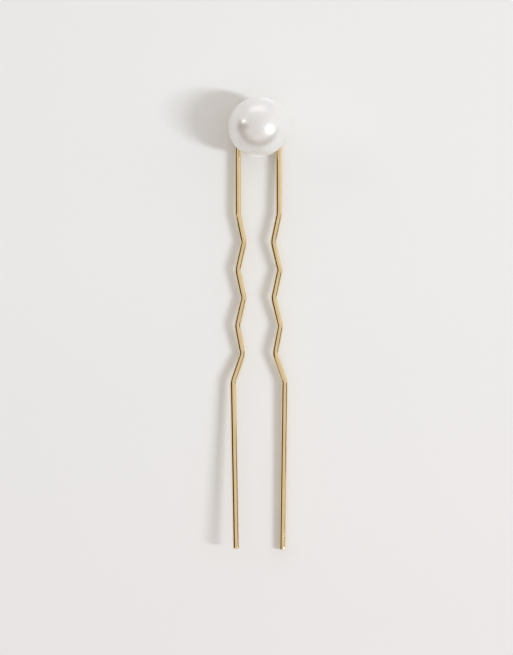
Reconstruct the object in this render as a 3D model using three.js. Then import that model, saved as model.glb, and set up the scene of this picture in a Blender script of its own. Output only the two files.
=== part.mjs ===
// Decorative hair pin: a U-shaped crimped wire pin with a round imitation pearl on its crown.
//
// Millimetres, +Z up. The pin lies on its back plate, so z = 0 is the plate's underside. X runs
// across the two legs and +Y points from the tips to the pearl. The origin is below the middle
// of the pin's length. Every piece is drawn about the pearl's own vertical axis, and a distance
// from that axis towards the tips is called a drop.

import * as THREE from "three";

// Whole pin
const PIN_LENGTH = 75.65; // top of the pearl to the longer leg's tip
const FACE_GAP = 0.04; // left between solids that are bonded face to face

// Pearl, a half-drilled ball
const PEARL_DIAMETER = 10;
const BORE_DIAMETER = 1.2;
const BORE_DEPTH = 6.2;
const BORE_MOUTH_CHAMFER = 0.12;
const DRILL_POINT_HEIGHT = 0.35;

// Back plate and the peg staked through its middle
const PLATE_DIAMETER = 8.4;
const PLATE_THICKNESS = 0.45;
const PLATE_EDGE_ROUND = 0.12;
const PEG_DIAMETER = 0.9;
const PEG_FOOT_DIAMETER = 1.5;
const PEG_FOOT_HEIGHT = 0.25;
const PEG_FOOT_RECESS = 0.02;
const PEG_TIP_CLEARANCE = 0.5; // peg's end to the drill point
const PEG_TIP_ROUND = 0.15;

// Bonds
const GLUE_LINE = 0.2; // pearl's lowest point to the plate
const GLUE_COLLAR_RADIUS = 2.3;
const GLUE_NECK_RADIUS = 2.1;
const BRAZE_FILM = 0.12; // wire's lowest point to the plate
const BRAZE_HALF_WIDTH = 0.68;
const BRAZE_END_DROP = 1.9; // the seam stops short of the plate's edge

// Wire: crown bend, straight necks, crimps, shoulder and lower straights
const WIRE_DIAMETER = 1.05;
const CROWN_RADIUS = 3.43; // to the wire's centre, and half the necks' spacing
const LIFT_DROP = 2.8; // where the wire leaves the level of the plate
const FIRST_BEND_DROP = 14.5;
const CRIMP_STEP = 14 / 3; // from one bend to the next
const CRIMP_HALF_SPACINGS = [CROWN_RADIUS, 2.46, 3.52, 2.52, 3.6, 2.74, 4.32];
const TIP_HALF_SPACING = 3.88;
const BEND_RADIUS = 2;
const TIP_ROUND = 0.22;

// Elastic flexing of each leg turns about a point in its neck, a little above the first bend
const FLEX_DROP = 13.9;
const FLEX_GAP = 0.3;

// Mesh fineness
const ROUND_SEGMENTS = 48;
const PEG_SEGMENTS = 24;
const WIRE_SIDES = 16;
const CROWN_STEPS = 18;
const BEND_STEPS = 4;
const ROUND_STEPS = 3;

const pearlRadius = PEARL_DIAMETER / 2;
const boreRadius = BORE_DIAMETER / 2;
const plateRadius = PLATE_DIAMETER / 2;
const pegRadius = PEG_DIAMETER / 2;
const wireRadius = WIRE_DIAMETER / 2;
const pearlY = PIN_LENGTH / 2 - pearlRadius;
const pearlZ = PLATE_THICKNESS + GLUE_LINE + pearlRadius;
const crownZ = PLATE_THICKNESS + BRAZE_FILM + wireRadius;
const shoulderIndex = CRIMP_HALF_SPACINGS.length - 1;
const bendDrop = (index) => FIRST_BEND_DROP + index * CRIMP_STEP;

// The right leg's tip rests on the table. The left leg is bent up below its last crimp.
// profile lists [drop, height of the wire's centre] from the first bend to the tip.
const RIGHT_TIP_DROP = PIN_LENGTH - pearlRadius;
const LEFT_TIP_DROP = RIGHT_TIP_DROP - 0.25;
const RIGHT_LEG = {
  side: 1,
  profile: [
    [FIRST_BEND_DROP, 1.4],
    [RIGHT_TIP_DROP, wireRadius],
  ],
};
const LEFT_LEG = {
  side: -1,
  profile: [
    [FIRST_BEND_DROP, 1.2],
    [bendDrop(shoulderIndex - 1), 1.25],
    [bendDrop(shoulderIndex), 1.55],
    [LEFT_TIP_DROP, 3.6],
  ],
};

const gold = new THREE.MeshStandardMaterial({ color: 0xdcc48c, roughness: 0.22, metalness: 1 });
const brazeMetal = new THREE.MeshStandardMaterial({ color: 0xcdb176, roughness: 0.42, metalness: 1 });
const pearlLacquer = new THREE.MeshStandardMaterial({ color: 0xf0eeea, roughness: 0.18, metalness: 0.1 });
const curedGlue = new THREE.MeshStandardMaterial({ color: 0xe9e3d2, roughness: 0.3, metalness: 0 });

// A path through given points. Each step of an extrusion lands on the next point, the section is
// mitred at each point, and the section's own y axis stays as near to +Z as the path allows.
class StationPath extends THREE.Curve {
  constructor(points) {
    super();
    this.points = points;
  }

  getPoint(t, target = new THREE.Vector3()) {
    const place = t * (this.points.length - 1);
    const index = Math.min(Math.floor(place + 1e-9), this.points.length - 2);
    return target.lerpVectors(this.points[index], this.points[index + 1], place - index);
  }

  getSpacedPoints() {
    return this.points.map((point) => point.clone());
  }

  computeFrenetFrames() {
    const tangents = this.points.map((point, index) => {
      const before = this.points[Math.max(index - 1, 0)];
      const after = this.points[Math.min(index + 1, this.points.length - 1)];
      const arriving = new THREE.Vector3().subVectors(point, before).normalize();
      const leaving = new THREE.Vector3().subVectors(after, point).normalize();
      return arriving.add(leaving).normalize();
    });
    const up = new THREE.Vector3(0, 0, 1);
    const normals = tangents.map((tangent) => new THREE.Vector3().crossVectors(up, tangent).normalize());
    const binormals = tangents.map((tangent, index) =>
      new THREE.Vector3().crossVectors(tangent, normals[index]),
    );
    return { tangents, normals, binormals };
  }
}

function sweep(section, points) {
  return new THREE.ExtrudeGeometry(section, {
    steps: points.length - 1,
    extrudePath: new StationPath(points),
    bevelEnabled: false,
  });
}

// A solid of revolution about Z. The outline is a list of [radius, height] from its lowest point.
function revolve(outline, segments) {
  const points = outline.map(([radius, height]) => new THREE.Vector2(radius, height));
  return new THREE.LatheGeometry(points, segments).rotateX(Math.PI / 2);
}

// [x, y] points along an arc, both ends included. Angles are in radians.
function arcPoints(centreX, centreY, radius, from, to, steps) {
  return Array.from({ length: steps + 1 }, (_, step) => {
    const angle = from + ((to - from) * step) / steps;
    return [centreX + radius * Math.cos(angle), centreY + radius * Math.sin(angle)];
  });
}

function wireSection() {
  const corners = arcPoints(0, 0, wireRadius, 0, 2 * Math.PI, WIRE_SIDES).slice(0, WIRE_SIDES);
  return new THREE.Shape(corners.map(([x, y]) => new THREE.Vector2(x, y)));
}

// Height of a leg's wire centre at a drop: level on the plate, then straight from knee to knee.
function wireHeight(leg, drop) {
  const knees = [[LIFT_DROP, crownZ], ...leg.profile];
  if (drop <= LIFT_DROP) return crownZ;
  const after = Math.max(1, knees.findIndex(([kneeDrop]) => kneeDrop >= drop));
  const [startDrop, startHeight] = knees[after - 1];
  const [endDrop, endHeight] = knees[after];
  return THREE.MathUtils.mapLinear(drop, startDrop, endDrop, startHeight, endHeight);
}

function wirePoint(leg, halfSpacing, drop) {
  return new THREE.Vector3(leg.side * halfSpacing, -drop, wireHeight(leg, drop));
}

// Replaces each inner corner of a list of points by a bend of the given radius.
function bendCorners(corners, radius) {
  const points = [corners[0]];
  for (let index = 1; index < corners.length - 1; index += 1) {
    const corner = corners[index];
    const back = new THREE.Vector3().subVectors(corners[index - 1], corner).normalize();
    const ahead = new THREE.Vector3().subVectors(corners[index + 1], corner).normalize();
    const setback = radius / Math.tan(back.angleTo(ahead) / 2);
    const bend = new THREE.QuadraticBezierCurve3(
      corner.clone().addScaledVector(back, setback),
      corner,
      corner.clone().addScaledVector(ahead, setback),
    );
    points.push(...bend.getPoints(BEND_STEPS));
  }
  points.push(corners[corners.length - 1]);
  return points;
}

// Rounds the rim of a leg's free end: a quarter circle from the wire's side to its flat tip.
function roundTip(geometry, tip, outward) {
  const position = geometry.getAttribute("position");
  const vertex = new THREE.Vector3();
  for (let index = 0; index < position.count; index += 1) {
    vertex.fromBufferAttribute(position, index);
    const past = vertex.clone().sub(tip).dot(outward) + TIP_ROUND;
    if (past <= 0) continue;
    const share = Math.min(past / TIP_ROUND, 1);
    const inset = TIP_ROUND * (1 - Math.sqrt(1 - share * share));
    const onAxis = tip.clone().addScaledVector(outward, past - TIP_ROUND);
    vertex.sub(onAxis).multiplyScalar(1 - inset / wireRadius).add(onAxis);
    position.setXYZ(index, vertex.x, vertex.y, vertex.z);
  }
  geometry.computeVertexNormals();
  return geometry;
}

// Pearl: the ball's surface from the bore's mouth up to the top, then back down the bore.
function pearlGeometry() {
  const mouthRadius = boreRadius + BORE_MOUTH_CHAMFER;
  const mouthAngle = -Math.acos(mouthRadius / pearlRadius);
  const lowerHalf = arcPoints(0, 0, pearlRadius, mouthAngle, 0, ROUND_SEGMENTS / 4);
  const upperHalf = arcPoints(0, 0, pearlRadius, 0, Math.PI / 2, ROUND_SEGMENTS / 4);
  const ball = [...lowerHalf, ...upperHalf.slice(1, -1), [0, pearlRadius]];
  const boreTop = BORE_DEPTH - pearlRadius;
  const mouthHeight = ball[0][1];
  const bore = [
    [0, boreTop],
    [boreRadius, boreTop - DRILL_POINT_HEIGHT],
    [boreRadius, mouthHeight + BORE_MOUTH_CHAMFER],
  ];
  return revolve([...bore, ...ball], ROUND_SEGMENTS);
}

// Back plate: a disc with rounded edges and a hole that is countersunk from below for the peg.
function plateGeometry() {
  const round = PLATE_EDGE_ROUND;
  const holeRadius = pegRadius + FACE_GAP;
  const footRadius = PEG_FOOT_DIAMETER / 2 + FACE_GAP;
  const rim = plateRadius - round;
  const outline = [
    [footRadius, 0],
    ...arcPoints(rim, round, round, -Math.PI / 2, 0, ROUND_STEPS),
    ...arcPoints(rim, PLATE_THICKNESS - round, round, 0, Math.PI / 2, ROUND_STEPS),
    [holeRadius, PLATE_THICKNESS],
    [holeRadius, PEG_FOOT_HEIGHT],
    [footRadius, 0],
  ];
  return revolve(outline, ROUND_SEGMENTS);
}

// Peg: a cone foot in the plate's countersink, a plain shank, and a rounded end in the bore.
function pegGeometry() {
  const top = PLATE_THICKNESS + GLUE_LINE + BORE_DEPTH - DRILL_POINT_HEIGHT - PEG_TIP_CLEARANCE;
  const round = PEG_TIP_ROUND;
  const outline = [
    [0, PEG_FOOT_RECESS],
    [PEG_FOOT_DIAMETER / 2 - PEG_FOOT_RECESS, PEG_FOOT_RECESS],
    [pegRadius, PEG_FOOT_HEIGHT],
    ...arcPoints(pegRadius - round, top - round, round, 0, Math.PI / 2, ROUND_STEPS),
    [0, top],
  ];
  return revolve(outline, PEG_SEGMENTS);
}

// Adhesive: a collar that fills the space between plate and ball, and a sleeve round the peg.
function adhesiveGeometry() {
  const ballRadius = pearlRadius + FACE_GAP;
  const underBall = (radius) => pearlZ - Math.sqrt(ballRadius ** 2 - radius ** 2);
  const inner = pegRadius + FACE_GAP;
  const outer = boreRadius - FACE_GAP;
  const base = PLATE_THICKNESS + FACE_GAP;
  const sleeveTop = PLATE_THICKNESS + GLUE_LINE + BORE_DEPTH - DRILL_POINT_HEIGHT - PEG_TIP_CLEARANCE;
  const collarRadii = [GLUE_COLLAR_RADIUS, 1.7, 1.1, outer];
  const neckHeight = (base + underBall(GLUE_COLLAR_RADIUS)) / 2;
  const outline = [
    [inner, base],
    [GLUE_COLLAR_RADIUS, base],
    [GLUE_NECK_RADIUS, neckHeight],
    ...collarRadii.map((radius) => [radius, underBall(radius)]),
    [outer, sleeveTop],
    [inner, sleeveTop],
    [inner, base],
  ];
  return revolve(outline, PEG_SEGMENTS);
}

// Braze seam: a low cradle that follows the crown, flat on the plate and hollow under the wire.
function brazeGeometry() {
  const cradleRadius = wireRadius + FACE_GAP;
  const floor = PLATE_THICKNESS + FACE_GAP - crownZ;
  const cradle = arcPoints(0, 0, cradleRadius, -Math.PI / 6, (-5 * Math.PI) / 6, 2 * ROUND_STEPS);
  const corners = [[-BRAZE_HALF_WIDTH, floor], [BRAZE_HALF_WIDTH, floor], ...cradle];
  const section = new THREE.Shape(corners.map(([x, y]) => new THREE.Vector2(x, y)));
  return sweep(section, crownPoints(BRAZE_END_DROP));
}

// Wire centre from the left neck, over the crown, to the right neck, as far down as endDrop.
function crownPoints(endDrop) {
  const bend = arcPoints(0, 0, CROWN_RADIUS, Math.PI, 0, CROWN_STEPS);
  const neck = (leg) =>
    [endDrop, LIFT_DROP]
      .filter((drop) => drop <= endDrop)
      .map((drop) => wirePoint(leg, CROWN_RADIUS, drop));
  return [
    ...neck(LEFT_LEG),
    ...bend.map(([x, y]) => new THREE.Vector3(x, y, crownZ)),
    ...neck(RIGHT_LEG).reverse(),
  ];
}

// Wire centre of a leg, from below the flex point to its tip.
function legPoints(leg) {
  const tipDrop = leg.profile[leg.profile.length - 1][0];
  const corners = [
    wirePoint(leg, CROWN_RADIUS, FLEX_DROP + FLEX_GAP / 2),
    ...CRIMP_HALF_SPACINGS.map((half, index) => wirePoint(leg, half, bendDrop(index))),
    wirePoint(leg, TIP_HALF_SPACING, tipDrop),
  ];
  const points = bendCorners(corners, BEND_RADIUS);
  const tip = points.pop();
  const outward = new THREE.Vector3().subVectors(tip, points[points.length - 1]).normalize();
  const rim = arcPoints(0, 0, TIP_ROUND, 0, Math.PI / 2, ROUND_STEPS);
  const tipPoints = rim.map(([, along]) => tip.clone().addScaledVector(outward, along - TIP_ROUND));
  return { points: [...points, ...tipPoints], tip, outward };
}

function legGeometry(leg) {
  const { points, tip, outward } = legPoints(leg);
  return roundTip(sweep(wireSection(), points), tip, outward);
}

function piece(name, geometry, material) {
  const mesh = new THREE.Mesh(geometry, material);
  mesh.name = name;
  return mesh;
}

const pearl = piece("pearl", pearlGeometry(), pearlLacquer);
pearl.position.z = pearlZ;

const head = new THREE.Group();
head.add(
  pearl,
  piece("back_plate", plateGeometry(), gold),
  piece("peg", pegGeometry(), gold),
  piece("pearl_adhesive", adhesiveGeometry(), curedGlue),
);

const wire = new THREE.Group();
wire.add(
  piece("braze_seam", brazeGeometry(), brazeMetal),
  piece("wire_crown", sweep(wireSection(), crownPoints(FLEX_DROP - FLEX_GAP / 2)), gold),
  piece("wire_left_leg", legGeometry(LEFT_LEG), gold),
  piece("wire_right_leg", legGeometry(RIGHT_LEG), gold),
);

const pin = new THREE.Group();
pin.add(head, wire);
pin.position.y = pearlY;

export default pin;
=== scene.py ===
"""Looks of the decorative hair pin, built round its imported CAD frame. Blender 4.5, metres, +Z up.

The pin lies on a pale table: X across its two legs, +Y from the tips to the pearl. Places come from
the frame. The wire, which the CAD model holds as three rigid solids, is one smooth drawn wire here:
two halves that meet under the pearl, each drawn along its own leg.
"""

import math

import bpy
import numpy as np
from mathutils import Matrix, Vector, noise


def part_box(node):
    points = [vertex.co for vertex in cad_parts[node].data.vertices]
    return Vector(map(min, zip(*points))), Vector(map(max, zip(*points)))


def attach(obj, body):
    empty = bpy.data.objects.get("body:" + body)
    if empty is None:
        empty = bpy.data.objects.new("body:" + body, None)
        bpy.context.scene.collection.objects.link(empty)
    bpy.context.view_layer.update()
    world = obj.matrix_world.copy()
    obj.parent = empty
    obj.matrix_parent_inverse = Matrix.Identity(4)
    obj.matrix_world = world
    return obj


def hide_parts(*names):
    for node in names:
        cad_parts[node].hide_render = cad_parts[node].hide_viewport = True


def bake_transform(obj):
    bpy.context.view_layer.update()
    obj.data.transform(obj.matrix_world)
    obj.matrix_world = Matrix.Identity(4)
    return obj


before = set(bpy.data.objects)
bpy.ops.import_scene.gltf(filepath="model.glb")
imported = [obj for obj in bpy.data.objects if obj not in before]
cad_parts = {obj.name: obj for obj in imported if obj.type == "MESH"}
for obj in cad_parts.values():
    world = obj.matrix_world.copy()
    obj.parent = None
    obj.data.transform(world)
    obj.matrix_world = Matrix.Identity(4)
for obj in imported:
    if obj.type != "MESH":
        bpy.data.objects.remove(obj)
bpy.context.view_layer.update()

MM = 0.001

# Places and sizes, from the frame
pearl_low, pearl_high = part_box("pearl")
plate_low, plate_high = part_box("back_plate")
peg_low, peg_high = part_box("peg")
glue_low, glue_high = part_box("pearl_adhesive")
crown_low, crown_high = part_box("wire_crown")

PEARL_RADIUS = (pearl_high.x - pearl_low.x) / 2
AXIS_Y = pearl_high.y - PEARL_RADIUS
PEARL_Z = pearl_high.z - PEARL_RADIUS
PLATE_RADIUS = (plate_high.x - plate_low.x) / 2
PLATE_TOP = plate_high.z
PEG_FOOT_RADIUS = (peg_high.x - peg_low.x) / 2
WIRE_RADIUS = 0.525 * MM  # of the round wire, which the CAD model holds with flat sides
CROWN_RADIUS = crown_high.x - WIRE_RADIUS
CROWN_Z = crown_low.z + WIRE_RADIUS

# Fit of the hidden pieces to each other, as on the CAD model
FACE_GAP = 0.04 * MM
BORE_RADIUS = 0.6 * MM
BORE_DEPTH = 6.2 * MM
PEG_RADIUS = 0.45 * MM
PEG_FOOT_HEIGHT = 0.25 * MM
BRAZE_END = 1.9 * MM  # below the pearl's axis


# ------------------------------------------------------------------------------ mesh building

SHARP_ANGLE = math.radians(40)


def wobble(x, y, z, seed):
    """Smooth noise from about -1 to 1, the same on every run."""
    return noise.noise(Vector((x, y, z + 17.3 * seed)))


def finish_mesh(name, vertices, faces):
    """A new object with smooth faces, and sharp edges where its surface turns by a large angle."""
    mesh = bpy.data.meshes.new(name)
    mesh.from_pydata([tuple(v) for v in vertices], [], faces)
    mesh.validate()
    mesh.polygons.foreach_set("use_smooth", [True] * len(mesh.polygons))
    mesh.set_sharp_from_angle(angle=SHARP_ANGLE)
    piece = bpy.data.objects.new(name, mesh)
    bpy.context.scene.collection.objects.link(piece)
    return piece


def rings_to_solid(rings):
    """Vertices and faces of a solid through rings of one size, with an n-gon on each end."""
    sides = len(rings[0])
    vertices = [point for ring in rings for point in ring]
    faces = []
    for row in range(len(rings) - 1):
        low, high = row * sides, (row + 1) * sides
        for side in range(sides):
            after = (side + 1) % sides
            faces.append((low + side, low + after, high + after, high + side))
    faces.append(tuple(range(sides - 1, -1, -1)))
    last = (len(rings) - 1) * sides
    faces.append(tuple(range(last, last + sides)))
    return vertices, faces


def revolve(name, outline, segments, relief=None):
    """A solid of revolution about the pearl's axis. The outline is [radius, height] points in metres,
    anticlockwise. It is a closed loop, unless it starts and ends on the axis. relief moves a point of
    the surface."""
    angles = [2 * math.pi * step / segments for step in range(segments)]
    vertices, rows = [], []
    for radius, height in outline:
        if radius == 0:
            rows.append([len(vertices)])
            vertices.append(Vector((0, AXIS_Y, height)))
            continue
        rows.append(list(range(len(vertices), len(vertices) + segments)))
        for angle in angles:
            place = Vector((radius * math.cos(angle), AXIS_Y + radius * math.sin(angle), height))
            vertices.append(relief(place) if relief else place)
    pairs = list(zip(rows, rows[1:]))
    if outline[0][0] > 0:
        pairs.append((rows[-1], rows[0]))
    faces = []
    for low, high in pairs:
        for step in range(segments):
            after = (step + 1) % segments
            if len(low) == 1:
                faces.append((low[0], high[after], high[step]))
            elif len(high) == 1:
                faces.append((low[step], low[after], high[0]))
            else:
                faces.append((low[step], low[after], high[after], high[step]))
    return finish_mesh(name, vertices, faces)


def arc(centre_x, centre_y, radius, start, end, steps):
    """Points [x, y] along an arc, both ends included. Angles are in degrees."""
    angles = [math.radians(start + (end - start) * step / steps) for step in range(steps + 1)]
    return [[centre_x + radius * math.cos(a), centre_y + radius * math.sin(a)] for a in angles]


# --------------------------------------------------------------------------------- the wire

WIRE_SIDES = 40
STATION_STEP = 0.18 * MM
CROWN_POINTS = 24
BEND_SOFTNESS = 0.16 * MM  # how far the drawn wire's bends spread past the CAD model's
TIP_ROUND = 0.2 * MM
TIP_RINGS = 7
TIP_SLOPE_STATIONS = 20  # of straight wire, that give the tip its direction

# Handling has twisted the legs out of flat: how far each bend and then the tip stands up, in mm.
# Distances along the legs are measured down from the pearl's axis.
FIRST_BEND = 14.5 * MM
BEND_STEP = 14 / 3 * MM
BENDS = 7
LIFT_START = FIRST_BEND - 9 * MM
RIGHT_LIFTS = (0.14, 0.41, 0.08, 0.46, 0.10, 0.50, 0.18, 0.32)
LEFT_LIFTS = (0.10, -0.10, 0.19, -0.08, 0.24, -0.15, 0.17, 0.0)

WANDER = 0.012 * MM  # hand-bent wire is never quite straight
SIDEWAYS_SWING = 5  # length of its swings, in mm
UPWARDS_SWING = 6
FIRM_END = 4 * MM  # over which the wander grows from nothing, past the brazed crown
STEADY_TIP = 6 * MM  # over which its upward part dies out, towards the tip

PIN_MARK_DEPTH = 0.05 * MM  # left by the forming pins on the inside of each crimp
CRIMP_CURVATURE = 350  # per metre, of a sharp crimp


def cut_centres(node, side, stations):
    """Where the planes at the given y cut a CAD wire: the middle of each cut, on one side of x = 0."""
    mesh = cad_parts[node].data
    places = np.array([v.co for v in mesh.vertices], float)
    ends = np.array([e.vertices for e in mesh.edges], int)
    first, second = places[ends[:, 0]], places[ends[:, 1]]
    centres = []
    for y in stations:
        crossing = (first[:, 1] - y) * (second[:, 1] - y) < 0
        a, b = first[crossing], second[crossing]
        cut = a + ((y - a[:, 1]) / (b[:, 1] - a[:, 1]))[:, None] * (b - a)
        cut = cut[cut[:, 0] * side > 0]
        centres.append((cut.min(0) + cut.max(0)) / 2)
    return np.array(centres)


def lengths_along(path):
    """The distance along a path to each of its points."""
    return np.concatenate([[0], np.cumsum(np.linalg.norm(np.diff(path, axis=0), axis=1))])


def points_at(wanted, lengths, path):
    """The points of a path at the wanted distances along it."""
    return np.stack([np.interp(wanted, lengths, path[:, k]) for k in range(3)], axis=1)


def even_stations(path, step):
    """The same path with its points an even step apart."""
    lengths = lengths_along(path)
    wanted = np.linspace(0, lengths[-1], max(2, round(lengths[-1] / step)) + 1)
    return points_at(wanted, lengths, path)


def softened(path, spread, step):
    """The path after a moving average with a bell-shaped weight. Its ends stay where they are."""
    reach = math.ceil(3 * spread / step)
    offsets = np.arange(-reach, reach + 1) * step
    weights = np.exp(-0.5 * (offsets / spread) ** 2)
    weights /= weights.sum()
    before = 2 * path[0] - path[reach:0:-1]
    after = 2 * path[-1] - path[-2 : -reach - 2 : -1]
    padded = np.concatenate([before, path, after])
    return np.stack([np.convolve(padded[:, k], weights, "valid") for k in range(3)], axis=1)


def wire_path(side, leg_node):
    """The wire's centre line from the top of the crown to the tip of one leg."""
    turns = np.linspace(0, math.pi / 2, CROWN_POINTS)
    across = side * CROWN_RADIUS * np.sin(turns)
    along = AXIS_Y + CROWN_RADIUS * np.cos(turns)
    crown = np.stack([across, along, np.full(len(turns), CROWN_Z)], axis=1)

    leg_low, leg_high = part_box(leg_node)
    margin = 2 * TIP_ROUND
    neck_stations = np.arange(AXIS_Y - STATION_STEP, crown_low.y + margin, -STATION_STEP)
    leg_stations = np.arange(leg_high.y - margin, leg_low.y + margin, -STATION_STEP)
    neck = cut_centres("wire_crown", side, neck_stations)
    leg = cut_centres(leg_node, side, leg_stations)
    above_tip = leg[-TIP_SLOPE_STATIONS]
    slope = (leg[-1] - above_tip) / (leg[-1][1] - above_tip[1])
    tip = leg[-1] + slope * (leg_low.y - leg[-1][1])
    path = even_stations(np.concatenate([crown, neck, leg, [tip]]), STATION_STEP)

    lifts = RIGHT_LIFTS if side > 0 else LEFT_LIFTS
    bends = [FIRST_BEND + step * BEND_STEP for step in range(BENDS)]
    lifted_at = [LIFT_START, *bends, AXIS_Y - leg_low.y]
    path[:, 2] += np.interp(AXIS_Y - path[:, 1], lifted_at, [0, *lifts]) * MM
    return softened(path, BEND_SOFTNESS, STATION_STEP)


def directions_along(centres, stations, side):
    """At each station: the wire's sideways and upwards directions, and its curvature."""
    tangents = np.gradient(centres, stations, axis=0)
    tangents[0] = (side, 0, 0)
    tangents[-TIP_RINGS:] = tangents[-TIP_RINGS - 1]
    tangents /= np.linalg.norm(tangents, axis=1)[:, None]
    curvature = softened(np.gradient(tangents, stations, axis=0), 2 * STATION_STEP, STATION_STEP)
    sideways = np.cross([0, 0, 1], tangents)
    sideways /= np.linalg.norm(sideways, axis=1)[:, None]
    return sideways, np.cross(tangents, sideways), curvature


def build_wire_half(name, side, leg_node):
    """One half of the wire, with pin marks inside its crimps and a rounded blunt tip."""
    path = wire_path(side, leg_node)
    lengths = lengths_along(path)
    total = lengths[-1]

    # Stations close together where the tip rounds off
    tip_turns = np.linspace(0, 1, TIP_RINGS)
    tip_lengths = total - TIP_ROUND * (1 - np.sin(tip_turns * math.pi / 2))
    kept = lengths < tip_lengths[0] - STATION_STEP / 2
    stations = np.concatenate([lengths[kept], tip_lengths])
    centres = points_at(stations, lengths, path)
    sideways, upwards, curvature = directions_along(centres, stations, side)

    rings, grain = [], []
    for index, station in enumerate(stations):
        along = station / MM
        loose = min(1, max(0, (station - 2 * CROWN_RADIUS) / FIRM_END))
        steady = min(1, (total - station) / STEADY_TIP)
        drift = loose * WANDER * wobble(along / SIDEWAYS_SWING, 0, 0, side)
        lift = loose * WANDER * wobble(0, along / UPWARDS_SWING, 0, side + 3) * steady
        centre = centres[index] + drift * sideways[index] + lift * upwards[index]
        bend = np.linalg.norm(curvature[index])
        sharpness = min(1, bend / CRIMP_CURVATURE)
        inside = curvature[index] / (bend + 1e-9)
        past_round = max(0, station - (total - TIP_ROUND)) / TIP_ROUND
        shrink = TIP_ROUND * (1 - math.sqrt(max(0, 1 - past_round * past_round)))
        ring = []
        for step in range(WIRE_SIDES):
            angle = 2 * math.pi * step / WIRE_SIDES
            outward = math.cos(angle) * sideways[index] + math.sin(angle) * upwards[index]
            facing = max(0, float(outward @ inside))
            mark = PIN_MARK_DEPTH * sharpness**2 * facing**3
            ring.append(centre + outward * (WIRE_RADIUS - shrink - mark))
            grain.append((along, math.cos(angle), math.sin(angle)))
        rings.append(ring)

    vertices, faces = rings_to_solid(rings)
    piece = finish_mesh(name, vertices, faces)
    attribute = piece.data.attributes.new("grain", "FLOAT_VECTOR", "POINT")
    attribute.data.foreach_set("vector", np.array(grain, np.float32).ravel())
    return piece, path


# ------------------------------------------------------------------- pearl, plate, peg, bonds


def build_pearl():
    """The ball, with the faint unevenness of dipped lacquer, and its half-drilled bore."""
    # In mm: the height of the lacquer's waves, and how far it is set in to keep to the ball's size
    swell_height, ripple_height, set_in = 0.006, 0.0012, 0.004
    swell_width = 3
    ripples_per_mm = 1.2

    def lacquer(place):
        out = place - Vector((0, AXIS_Y, PEARL_Z))
        in_bore = out.length < 0.99 * PEARL_RADIUS
        if in_bore:
            return place
        x, y, z = out / MM
        swell = swell_height * wobble(x / swell_width, y / swell_width, z / swell_width, 1)
        ripple = ripple_height * wobble(x * ripples_per_mm, y * ripples_per_mm, z * ripples_per_mm, 2)
        return place + out.normalized() * (swell + ripple - set_in) * MM

    chamfer = 0.12 * MM
    drill_point = 0.35 * MM
    broken_edge = 0.04 * MM
    mouth_angle = -math.degrees(math.acos((BORE_RADIUS + chamfer) / PEARL_RADIUS))
    ball = arc(0, PEARL_Z, PEARL_RADIUS, mouth_angle, 89, 110)
    mouth_z = ball[0][1]
    bore_top = PEARL_Z - PEARL_RADIUS + BORE_DEPTH
    outline = [
        [0, bore_top],
        [BORE_RADIUS, bore_top - drill_point],
        [BORE_RADIUS, mouth_z + chamfer],
        [BORE_RADIUS + broken_edge, mouth_z + broken_edge],
        *ball,
        [0, PEARL_Z + PEARL_RADIUS],
    ]
    return revolve("pearl_ball", outline, 160, lacquer)


def build_plate():
    """The stamped disc: a rolled upper edge, a sharper lower one, and a countersunk hole."""
    rolled_edge = 0.14 * MM
    lower_edge = 0.05 * MM
    hole = PEG_RADIUS + FACE_GAP
    broken_width, broken_depth = 0.05 * MM, 0.04 * MM  # of the hole's upper edge
    outline = [
        [PEG_FOOT_RADIUS + FACE_GAP, 0],
        *arc(PLATE_RADIUS - lower_edge, lower_edge, lower_edge, -90, 0, 4),
        *arc(PLATE_RADIUS - rolled_edge, PLATE_TOP - rolled_edge, rolled_edge, 0, 90, 8),
        [hole + broken_width, PLATE_TOP],
        [hole, PLATE_TOP - broken_depth],
        [hole, PEG_FOOT_HEIGHT],
    ]
    return revolve("plate_disc", outline, 144)


def build_peg():
    """The staked peg: its foot is spread into the countersink, and two grooves key it to the glue."""
    foot = PEG_FOOT_RADIUS
    rim = 0.03 * MM
    foot_at_rim = foot - rim / PEG_FOOT_HEIGHT * (foot - PEG_RADIUS)
    top = peg_high.z
    tip = 0.15 * MM
    punch_radius, punch_depth = foot * 0.55, 0.004 * MM  # the mark of the staking punch
    groove_depth = 0.05 * MM
    groove_reach = 0.25 * MM  # up and down from a groove's middle
    grooves = []
    for middle in (PLATE_TOP + 2.2 * MM, PLATE_TOP + 3.6 * MM):
        for shift in np.linspace(-1, 1, 9).tolist():
            depth = groove_depth * math.cos(shift * math.pi / 2)
            grooves.append([PEG_RADIUS - depth, middle + shift * groove_reach])
    outline = [
        [0, peg_low.z],
        [punch_radius, peg_low.z + punch_depth],
        [foot_at_rim - rim, peg_low.z],
        [foot_at_rim, peg_low.z + rim],
        [PEG_RADIUS, PEG_FOOT_HEIGHT],
        *grooves,
        *arc(PEG_RADIUS - tip, top - tip, tip, 0, 80, 5),
        [0, top],
    ]
    return revolve("staked_peg", outline, 72)


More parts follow.
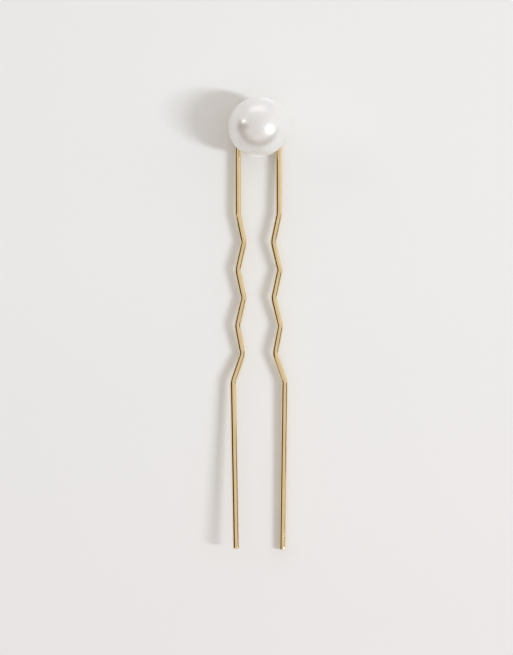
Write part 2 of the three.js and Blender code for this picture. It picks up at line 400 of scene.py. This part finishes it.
def build_glue():
    """The cured glue: a collar with a hollow edge where it wets ball and plate, and a thin sleeve."""
    ball = PEARL_RADIUS + FACE_GAP / 2

    def under_ball(radius):
        return PEARL_Z - math.sqrt(ball**2 - radius**2)

    base = PLATE_TOP + FACE_GAP / 2
    inner = PEG_RADIUS + FACE_GAP / 2
    outer = BORE_RADIUS - FACE_GAP / 2
    collar = (glue_high.x - glue_low.x) / 2
    top = under_ball(collar)
    waist_depth = 0.22 * MM
    hollow_steps, roof_steps = 10, 12
    hollow = []
    for step in range(hollow_steps + 1):
        share = step / hollow_steps
        waist = waist_depth * math.sin(share * math.pi)
        hollow.append([collar - waist, base + (top - base) * share])
    roof = []
    for step in range(1, roof_steps + 1):
        radius = collar + (outer - collar) * step / roof_steps
        roof.append([radius, under_ball(radius)])
    outline = [[inner, base], *hollow, *roof, [outer, glue_high.z], [inner, glue_high.z]]

    # The glue is even out to this radius, and gets more uneven from there to the collar's edge
    even_radius = 1.1 * MM
    fade, unevenness = 0.8 * MM, 0.07 * MM
    touching = 0.001 * MM

    def uneven(place):
        out = Vector((place.x, place.y - AXIS_Y, 0))
        reach = min(1, (out.length - even_radius) / fade)
        if reach <= 0:
            return place
        turn = math.atan2(out.y, out.x)
        swell = unevenness * reach * (wobble(math.cos(turn), math.sin(turn), 0, 5) - 0.5)
        moved = place + out.normalized() * swell
        if abs(place.z - under_ball(out.length)) < touching:
            moved.z = under_ball(math.hypot(moved.x, moved.y - AXIS_Y))
        else:
            moved.z = base + (place.z - base) * (under_ball(collar + swell) - base) / (top - base)
        return moved

    return revolve("glue_collar", outline, 96, uneven)


def build_braze(path_left, path_right):
    """The brazed seam under the crown: a fillet on each side of the wire, uneven along its length."""
    whole = np.concatenate([path_left[::-1], path_right[1:]])
    centres = whole[whole[:, 1] > AXIS_Y - BRAZE_END]
    tangents = np.gradient(centres, axis=0)
    tangents /= np.linalg.norm(tangents, axis=1)[:, None]
    touch = WIRE_RADIUS + FACE_GAP / 4
    floor = PLATE_TOP + FACE_GAP / 4 - CROWN_Z
    fillet_width = 0.17 * MM
    taper = 0.5 * MM  # over which each end of the seam thins out
    unevenness, swing = 0.25, 1.5  # share of the fillet's width, and length of its swings in mm
    hollowness = 0.2  # of the curve, where 0 bends it right into the corner
    rings = []
    for index, (centre, tangent) in enumerate(zip(centres, tangents)):
        sideways = np.cross([0, 0, 1], tangent)
        along = index * STATION_STEP / MM
        to_end = min(index, len(centres) - 1 - index) * STATION_STEP
        fullness = min(1, 0.3 + to_end / taper)
        spread = fillet_width * fullness * (1 + unevenness * wobble(along / swing, 0, 0, 8))
        climb = math.radians(28 + 32 * fullness)  # round the wire, from its underside

        # Half a section, from where it leaves the wire, down a hollow curve to the plate
        top = np.array([touch * math.sin(climb), -touch * math.cos(climb)])
        foot = np.array([top[0] + spread, floor])
        hollow = np.array([top[0] + hollowness * spread, floor + hollowness * (top[1] - floor)])
        shares = np.linspace(0, 1, 6)
        flank = [top * (1 - s) ** 2 + hollow * 2 * s * (1 - s) + foot * s * s for s in shares]
        turns = np.linspace(climb, -climb, 13)
        cradle = [[touch * math.sin(a), -touch * math.cos(a)] for a in turns]
        mirrored = [[-x, z] for x, z in flank]
        section = [mirrored[-1], *flank[:0:-1], *cradle, *mirrored[1:-1]]
        rings.append([Vector(centre + sideways * x + np.array([0, 0, z])) for x, z in section])
    vertices, faces = rings_to_solid(rings)
    return finish_mesh("braze_fillet", vertices, faces)


# ---------------------------------------------------------------------------------- materials


def add_node(tree, kind, inputs=None, **settings):
    """A new shader node. inputs maps a socket's name or index to a value or to another node's socket."""
    made = tree.nodes.new(kind)
    for name, value in settings.items():
        setattr(made, name, value)
    for name, value in (inputs or {}).items():
        if isinstance(value, bpy.types.NodeSocket):
            tree.links.new(value, made.inputs[name])
        else:
            made.inputs[name].default_value = value
    return made


def new_material(name):
    """A material with only a Principled shader. Returns the material, its tree and the shader."""
    material = bpy.data.materials.new(name)
    material.use_nodes = True
    return material, material.node_tree, material.node_tree.nodes["Principled BSDF"]


def noise_value(tree, vector, scale, detail=3.0, stretch=(1, 1, 1)):
    """A noise texture's value, from 0 to 1, on coordinates that are stretched first. scale is the number
    of its waves in one unit of those coordinates: a metre, or a millimetre along the wire's grain."""
    mapped = add_node(tree, "ShaderNodeMapping", {"Vector": vector, "Scale": stretch}).outputs[0]
    inputs = {"Vector": mapped, "Scale": scale, "Detail": detail}
    return add_node(tree, "ShaderNodeTexNoise", inputs).outputs["Fac"]


def ranged(tree, value, low, high, from_low=0.3, from_high=0.7):
    """value, which lies mostly between from_low and from_high, brought to low and high."""
    inputs = {"Value": value, "From Min": from_low, "From Max": from_high, "To Min": low, "To Max": high}
    return add_node(tree, "ShaderNodeMapRange", inputs).outputs["Result"]


def mixed_colour(tree, factor, first, second, **settings):
    """A blend of two colours by a factor. Each of them can also be another node's socket."""
    inputs = {"Factor": factor}
    for index, colour in ((6, first), (7, second)):
        inputs[index] = colour if isinstance(colour, bpy.types.NodeSocket) else (*colour, 1)
    return add_node(tree, "ShaderNodeMix", inputs, data_type="RGBA", **settings).outputs[2]


def vector_maths(tree, operation, first, second=None):
    """A vector maths node."""
    inputs = {0: first} if second is None else {0: first, 1: second}
    return add_node(tree, "ShaderNodeVectorMath", inputs, operation=operation)


def bumped(tree, heights, strength, distance):
    """A chain of bump nodes, one for each height socket."""
    normal = None
    for height in heights:
        inputs = {"Height": height, "Strength": strength, "Distance": distance}
        if normal is not None:
            inputs["Normal"] = normal
        normal = add_node(tree, "ShaderNodeBump", inputs).outputs["Normal"]
    return normal


def link_inputs(tree, shader, sockets):
    """Links sockets to the shader's inputs of these names."""
    for name, socket in sockets.items():
        tree.links.new(socket, shader.inputs[name])


GOLD_LIGHT = (0.945, 0.775, 0.49)
GOLD_DEEP = (0.90, 0.715, 0.41)


def wire_gold():
    """Polished pale gold plating on drawn wire: fine lines along the wire over soft thickness changes."""
    material, tree, shader = new_material("gold_plated_wire")
    grain = add_node(tree, "ShaderNodeAttribute", attribute_name="grain").outputs["Vector"]
    drawn = noise_value(tree, grain, 1.0, 4.0, (0.35, 9, 9))
    fine = noise_value(tree, grain, 1.0, 2.0, (0.8, 34, 34))
    patches = noise_value(tree, grain, 1.0, 3.0, (0.45, 1.1, 1.1))
    sockets = {
        "Base Color": mixed_colour(tree, ranged(tree, patches, 0, 1), GOLD_LIGHT, GOLD_DEEP),
        "Roughness": ranged(tree, drawn, 0.035, 0.06),
        "Normal": bumped(tree, [drawn, fine], 0.1, 0.002 * MM),
    }
    link_inputs(tree, shader, sockets)
    shader.inputs["Metallic"].default_value = 1.0
    return material


def plate_gold():
    """Satin gold plating on a turned face: fine rings about the pearl's axis, and light handling marks."""
    material, tree, shader = new_material("gold_plated_plate")
    place = add_node(tree, "ShaderNodeTexCoord").outputs["Object"]
    centred = vector_maths(tree, "SUBTRACT", place, (0, AXIS_Y, 0)).outputs[0]
    flat = vector_maths(tree, "MULTIPLY", centred, (1, 1, 0)).outputs[0]
    radius = vector_maths(tree, "LENGTH", flat).outputs["Value"]
    along_radius = add_node(tree, "ShaderNodeCombineXYZ", {"X": radius}).outputs[0]
    rings = noise_value(tree, along_radius, 14000, 3.0)
    patches = noise_value(tree, place, 900, 3.0)
    handling = noise_value(tree, place, 2600, 5.0, (1, 0.25, 1))
    sockets = {
        "Base Color": mixed_colour(tree, ranged(tree, patches, 0, 1), GOLD_LIGHT, GOLD_DEEP),
        "Roughness": ranged(tree, handling, 0.24, 0.4),
        "Normal": bumped(tree, [rings, handling], 0.3, 0.01 * MM),
    }
    link_inputs(tree, shader, sockets)
    shader.inputs["Metallic"].default_value = 1.0
    return material


def braze_gold():
    """Braze under plating: the same gold, rougher and a little darker, with a frozen-melt surface."""
    material, tree, shader = new_material("gold_plated_braze")
    place = add_node(tree, "ShaderNodeTexCoord").outputs["Object"]
    melt = noise_value(tree, place, 2200, 4.0)
    grains = noise_value(tree, place, 9000, 3.0)
    dull = (0.68, 0.53, 0.29)
    sockets = {
        "Base Color": mixed_colour(tree, ranged(tree, melt, 0, 1), GOLD_DEEP, dull),
        "Roughness": ranged(tree, grains, 0.32, 0.52),
        "Normal": bumped(tree, [melt, grains], 0.4, 0.02 * MM),
    }
    link_inputs(tree, shader, sockets)
    shader.inputs["Metallic"].default_value = 1.0
    return material


def pearl_lacquer():
    """Imitation pearl: fine flakes in clear lacquer over a white bead. Half mirror, half milky body."""
    material, tree, shader = new_material("pearl_lacquer")
    place = add_node(tree, "ShaderNodeTexCoord").outputs["Object"]
    clouds = noise_value(tree, place, 330, 2.0)
    bands = noise_value(tree, place, 620, 3.0, (1, 0.6, 1.5))
    peel = noise_value(tree, place, 900, 1.0)
    cool = (0.815, 0.815, 0.815)
    warm = (0.845, 0.815, 0.79)
    sockets = {
        "Base Color": mixed_colour(tree, ranged(tree, clouds, 0, 1), cool, warm),
        "Roughness": ranged(tree, bands, 0.285, 0.33),
        "Normal": bumped(tree, [peel], 0.4, 0.008 * MM),
    }
    link_inputs(tree, shader, sockets)
    shader.inputs["Metallic"].default_value = 0.46
    shader.inputs["Subsurface Weight"].default_value = 1.0
    shader.inputs["Subsurface Radius"].default_value = (1, 1, 1)
    shader.inputs["Subsurface Scale"].default_value = 4.5 * MM
    shader.inputs["Coat Weight"].default_value = 0.9
    shader.inputs["Coat Roughness"].default_value = 0.16
    shader.inputs["Coat IOR"].default_value = 1.7
    shader.inputs["Sheen Weight"].default_value = 1.0
    shader.inputs["Sheen Roughness"].default_value = 0.4
    return material


def cured_glue():
    """Clear glue gone faintly yellow, glossy, with small trapped bubbles."""
    material, tree, shader = new_material("cured_glue")
    place = add_node(tree, "ShaderNodeTexCoord").outputs["Object"]
    cloud = noise_value(tree, place, 1100, 3.0)
    cells = add_node(tree, "ShaderNodeTexVoronoi", {"Vector": place, "Scale": 3200})
    bubbles = ranged(tree, cells.outputs["Distance"], 0, 1, 0.05, 0.22)
    clear = (0.80, 0.765, 0.66)
    milky = (0.86, 0.84, 0.77)
    sockets = {
        "Base Color": mixed_colour(tree, ranged(tree, cloud, 0, 1), clear, milky),
        "Roughness": ranged(tree, cloud, 0.08, 0.2),
        "Normal": bumped(tree, [bubbles], 0.35, 0.02 * MM),
    }
    link_inputs(tree, shader, sockets)
    shader.inputs["Coat Weight"].default_value = 0.6
    shader.inputs["Coat Roughness"].default_value = 0.05
    return material


# ------------------------------------------------------------------------ build and attach


def paint(piece, material):
    """Gives a piece its one material."""
    piece.data.materials.clear()
    piece.data.materials.append(material)


def add_wire():
    """Both halves of the wire, each running from the head down its own leg. Returns their centre lines."""
    material = wire_gold()
    paths = []
    for name, side, body, node in (
        ("wire_left_half", -1, "left_leg", "wire_left_leg"),
        ("wire_right_half", 1, "right_leg", "wire_right_leg"),
    ):
        half, path = build_wire_half(name, side, node)
        paint(half, material)
        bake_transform(half)
        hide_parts("wire_crown", node)
        paths.append(path)
    return paths


def add_head(paths):
    """The pieces at the pearl end, which all ride on the head."""
    rows = (
        (build_pearl(), pearl_lacquer(), "pearl", "pearl"),
        (build_plate(), plate_gold(), "gold_plate", "back_plate"),
        (build_peg(), plate_gold(), "gold_plate", "peg"),
        (build_glue(), cured_glue(), "adhesive", "pearl_adhesive"),
        (build_braze(*paths), braze_gold(), "braze", "braze_seam"),
    )
    for piece, material, slot, node in rows:
        paint(piece, material)
        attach(piece, "head")
        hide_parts(node)


add_head(add_wire())

# ------------------------------------------------------------------- table, light and camera

TARGET = Vector((-0.38 * MM, -0.61 * MM, 0))  # the point of the table under the camera
CAMERA_HEIGHT = 1.5
CAMERA_ROLL = math.radians(-0.14)
VIEW_LONG_SIDE = 109.7 * MM  # of the table, that the picture's long side takes in
SENSOR = 36.0
TABLE_HALF = 3.0
TABLE_SINK = 0.01 * MM  # below the pin, so that the two don't share a face

# Soft boxes: name, azimuth and elevation in degrees, width and height in metres, radiance, colour
PANEL_DISTANCE = 3.0
PANELS = (
    ("key_softbox", -11.8, 42.5, 0.3, 0.92, 44.2, (0.92, 1.0, 1.07)),
    ("back_reflector", 92, 11, 2.6, 1.6, 0.42, (0.96, 0.98, 1.04)),
    ("window_left", 157.5, 27, 0.17, 0.42, 12.0, (1, 1, 1)),
    ("front_glint", -98, 46.5, 0.45, 0.30, 1.0, (1.0, 0.95, 0.88)),
)

# Dark cards: name, heading from the pearl in degrees, near and far end, and the height over the
# distance from the pearl
CARDS = (
    ("front_left_card", 210, 51 * MM, 554 * MM, 1.15),
    ("back_left_card", 170, 61 * MM, 600 * MM, 1.15),
    ("front_right_card", 347, 160 * MM, 311 * MM, 0.47),
)
CARD_BROWN = (0.05, 0.034, 0.008)

# Parts of the room, in degrees: the azimuth of a part's middle, how far from there it begins to show,
# and how far from there it shows in full
BACK_WALL = (83, 88, 80)
LOW_SCREEN = (173, 17, 12)
TALL_SCREEN = (177, 10.5, 7.5)

HORIZON = (0.84, 0.81, 0.775)
CEILING = (0.79, 0.754, 0.728)
ZENITH = (0.70, 0.667, 0.643)
BROWN = (0.405, 0.325, 0.25)
UMBER = (0.235, 0.175, 0.115)
GREY = (0.15, 0.113, 0.07)
DARK = (0.055, 0.038, 0.008)
LOW_CREAM = (0.84, 0.81, 0.78)
HIGH_CREAM = (0.86, 0.825, 0.795)
BACKDROP = (0.78, 0.775, 0.765)

# Their colours, each with the height at which it is reached, where 0 is level and 1 straight up
FRONT_COLOURS = ((0.08, HORIZON), (0.19, UMBER), (0.50, BROWN), (0.72, CEILING), (0.92, ZENITH))
BACK_COLOURS = ((0.0, LOW_CREAM), (0.3, HIGH_CREAM), (0.95, ZENITH))
LOW_SCREEN_COLOURS = ((0.05, HORIZON), (0.11, GREY), (0.54, GREY), (0.62, CEILING), (0.92, ZENITH))
TALL_SCREEN_COLOURS = ((0.03, HORIZON), (0.08, DARK), (0.76, DARK), (0.83, CEILING), (0.92, ZENITH))


def direction(azimuth, elevation):
    """The unit vector towards a place in the room. Azimuth 0 is +X and 90 is +Y, in degrees."""
    a, e = math.radians(azimuth), math.radians(elevation)
    return Vector((math.cos(a) * math.cos(e), math.sin(a) * math.cos(e), math.sin(e)))


def add_panel(name, azimuth, elevation, width, height, radiance, colour):
    """A soft box that faces the pin. radiance is how bright its face is, whatever its size."""
    lamp = bpy.data.lights.new(name, "AREA")
    lamp.shape = "RECTANGLE"
    lamp.size, lamp.size_y = width, height
    lamp.energy = radiance * math.pi * width * height
    lamp.color = colour
    panel = bpy.data.objects.new(name, lamp)
    towards = direction(azimuth, elevation)
    panel.location = towards * PANEL_DISTANCE
    panel.rotation_mode = "QUATERNION"
    panel.rotation_quaternion = towards.to_track_quat("Z", "Y")
    panel.visible_camera = False
    bpy.context.scene.collection.objects.link(panel)


def height_ramp(tree, height, stops):
    """A colour that depends on how far up a direction points. stops are (height, colour)."""
    ramp = add_node(tree, "ShaderNodeValToRGB", {0: height})
    while len(ramp.color_ramp.elements) < len(stops):
        ramp.color_ramp.elements.new(0.5)
    for element, (place, colour) in zip(ramp.color_ramp.elements, stops):
        element.position = place
        element.color = (*colour, 1)
    return ramp.outputs["Color"]


def add_room():
    """The room. Its ceiling and back wall are pale, its front wall is brown, and two dark screens stand
    to the left of the table, which the wire shows as a dark line. The camera sees a plain backdrop."""
    world = bpy.data.worlds.new("studio_room")
    bpy.context.scene.world = world
    world.use_nodes = True
    tree = world.node_tree
    tree.nodes.clear()
    towards = add_node(tree, "ShaderNodeTexCoord").outputs["Generated"]
    height = add_node(tree, "ShaderNodeSeparateXYZ", {0: towards}).outputs["Z"]
    flat = vector_maths(tree, "MULTIPLY", towards, (1, 1, 0)).outputs[0]
    heading = vector_maths(tree, "NORMALIZE", flat).outputs[0]

    walls = height_ramp(tree, height, FRONT_COLOURS)
    for (middle, begun, full), colours in (
        (BACK_WALL, BACK_COLOURS),
        (LOW_SCREEN, LOW_SCREEN_COLOURS),
        (TALL_SCREEN, TALL_SCREEN_COLOURS),
    ):
        along = vector_maths(tree, "DOT_PRODUCT", heading, direction(middle, 0)).outputs["Value"]
        begun_at, full_at = math.cos(math.radians(begun)), math.cos(math.radians(full))
        share = ranged(tree, along, 0, 1, begun_at, full_at)
        walls = mixed_colour(tree, share, walls, height_ramp(tree, height, colours))

    room = add_node(tree, "ShaderNodeBackground", {"Color": walls, "Strength": 1.0}).outputs[0]
    backdrop_inputs = {"Color": (*BACKDROP, 1), "Strength": 1.0}
    backdrop = add_node(tree, "ShaderNodeBackground", backdrop_inputs).outputs[0]
    seen = add_node(tree, "ShaderNodeLightPath").outputs["Is Camera Ray"]
    mix = add_node(tree, "ShaderNodeMixShader", {0: seen, 1: room, 2: backdrop}).outputs[0]
    add_node(tree, "ShaderNodeOutputWorld", {"Surface": mix})


def coated_board():
    """Pale matt board with a faint tooth. It is painted a little lighter to the right, as painted light,
    and painted warmer and darker in front, as painted shade.
    """
    material, tree, shader = new_material("coated_board")
    place = add_node(tree, "ShaderNodeTexCoord").outputs["Object"]
    tooth = noise_value(tree, place, 1800, 4.0)
    shade = noise_value(tree, place, 14, 2.0)
    parts = add_node(tree, "ShaderNodeSeparateXYZ", {0: place}).outputs
    wander = add_node(tree, "ShaderNodeMath", {0: shade, 1: 0.02}, operation="MULTIPLY").outputs[0]
    across = add_node(tree, "ShaderNodeMath", {0: parts["X"], 1: wander}).outputs[0]
    # Painted light and shade: the board is lighter to the right, towards the key light, and warmer and
    # darker in front
    painted_light_share = ranged(tree, across, 0, 1, -0.03, 0.05)
    painted_shade_share = ranged(tree, parts["Y"], 0, 1, -0.05, 0.01)
    plain = mixed_colour(tree, painted_light_share, (0.867, 0.874, 0.87), (0.89, 0.892, 0.888))
    painted_shade_tint = mixed_colour(tree, painted_shade_share, (0.985, 0.963, 0.972), (1, 1, 1))
    sockets = {
        "Base Color": mixed_colour(tree, 1.0, plain, painted_shade_tint, blend_type="MULTIPLY"),
        "Normal": bumped(tree, [tooth], 0.08, 0.01 * MM),
    }
    link_inputs(tree, shader, sockets)
    shader.inputs["Roughness"].default_value = 0.75
    shader.inputs["Specular IOR Level"].default_value = 0.2
    return material


def add_table():
    """A wide table top just under the pin."""
    half, z = TABLE_HALF, -TABLE_SINK
    corners = [(-half, -half, z), (half, -half, z), (half, half, z), (-half, half, z)]
    table = finish_mesh("table_top", corners, [(0, 1, 2, 3)])
    table.data.materials.append(coated_board())


def add_card(name, heading, near, far, rise):
    """A dark card out of the picture, edge-on to the pearl, that only reflections show: it edges the
    wire in brown. It rises with the distance from the pearl, so that it looks equally tall all along."""
    foot = Vector((0, AXIS_Y, 0))
    along = direction(heading, 0)
    sloping = along + Vector((0, 0, rise))
    corners = [foot + along * near, foot + along * far, foot + sloping * far, foot + sloping * near]
    card = finish_mesh(name, corners, [(0, 1, 2, 3)])
    material, _, shader = new_material(name)
    shader.inputs["Base Color"].default_value = (*CARD_BROWN, 1)
    shader.inputs["Roughness"].default_value = 1.0
    shader.inputs["Specular IOR Level"].default_value = 0.0
    card.data.materials.append(material)
    card.visible_camera = False
    card.visible_diffuse = False
    card.visible_shadow = False
    card.visible_transmission = False


def add_camera():
    """A long lens straight above the table, with the pearl at the top of the picture."""
    lens = bpy.data.cameras.new("camera")
    lens.sensor_width = SENSOR
    lens.lens = SENSOR * CAMERA_HEIGHT / VIEW_LONG_SIDE
    lens.clip_end = 40
    camera = bpy.data.objects.new("camera", lens)
    camera.location = TARGET + Vector((0, 0, CAMERA_HEIGHT))
    camera.rotation_euler = (0, 0, CAMERA_ROLL)
    bpy.context.scene.collection.objects.link(camera)
    bpy.context.scene.camera = camera


add_table()
for card in CARDS:
    add_card(*card)
add_room()
for panel in PANELS:
    add_panel(*panel)
add_camera()
bpy.context.scene.view_settings.view_transform = "Standard"
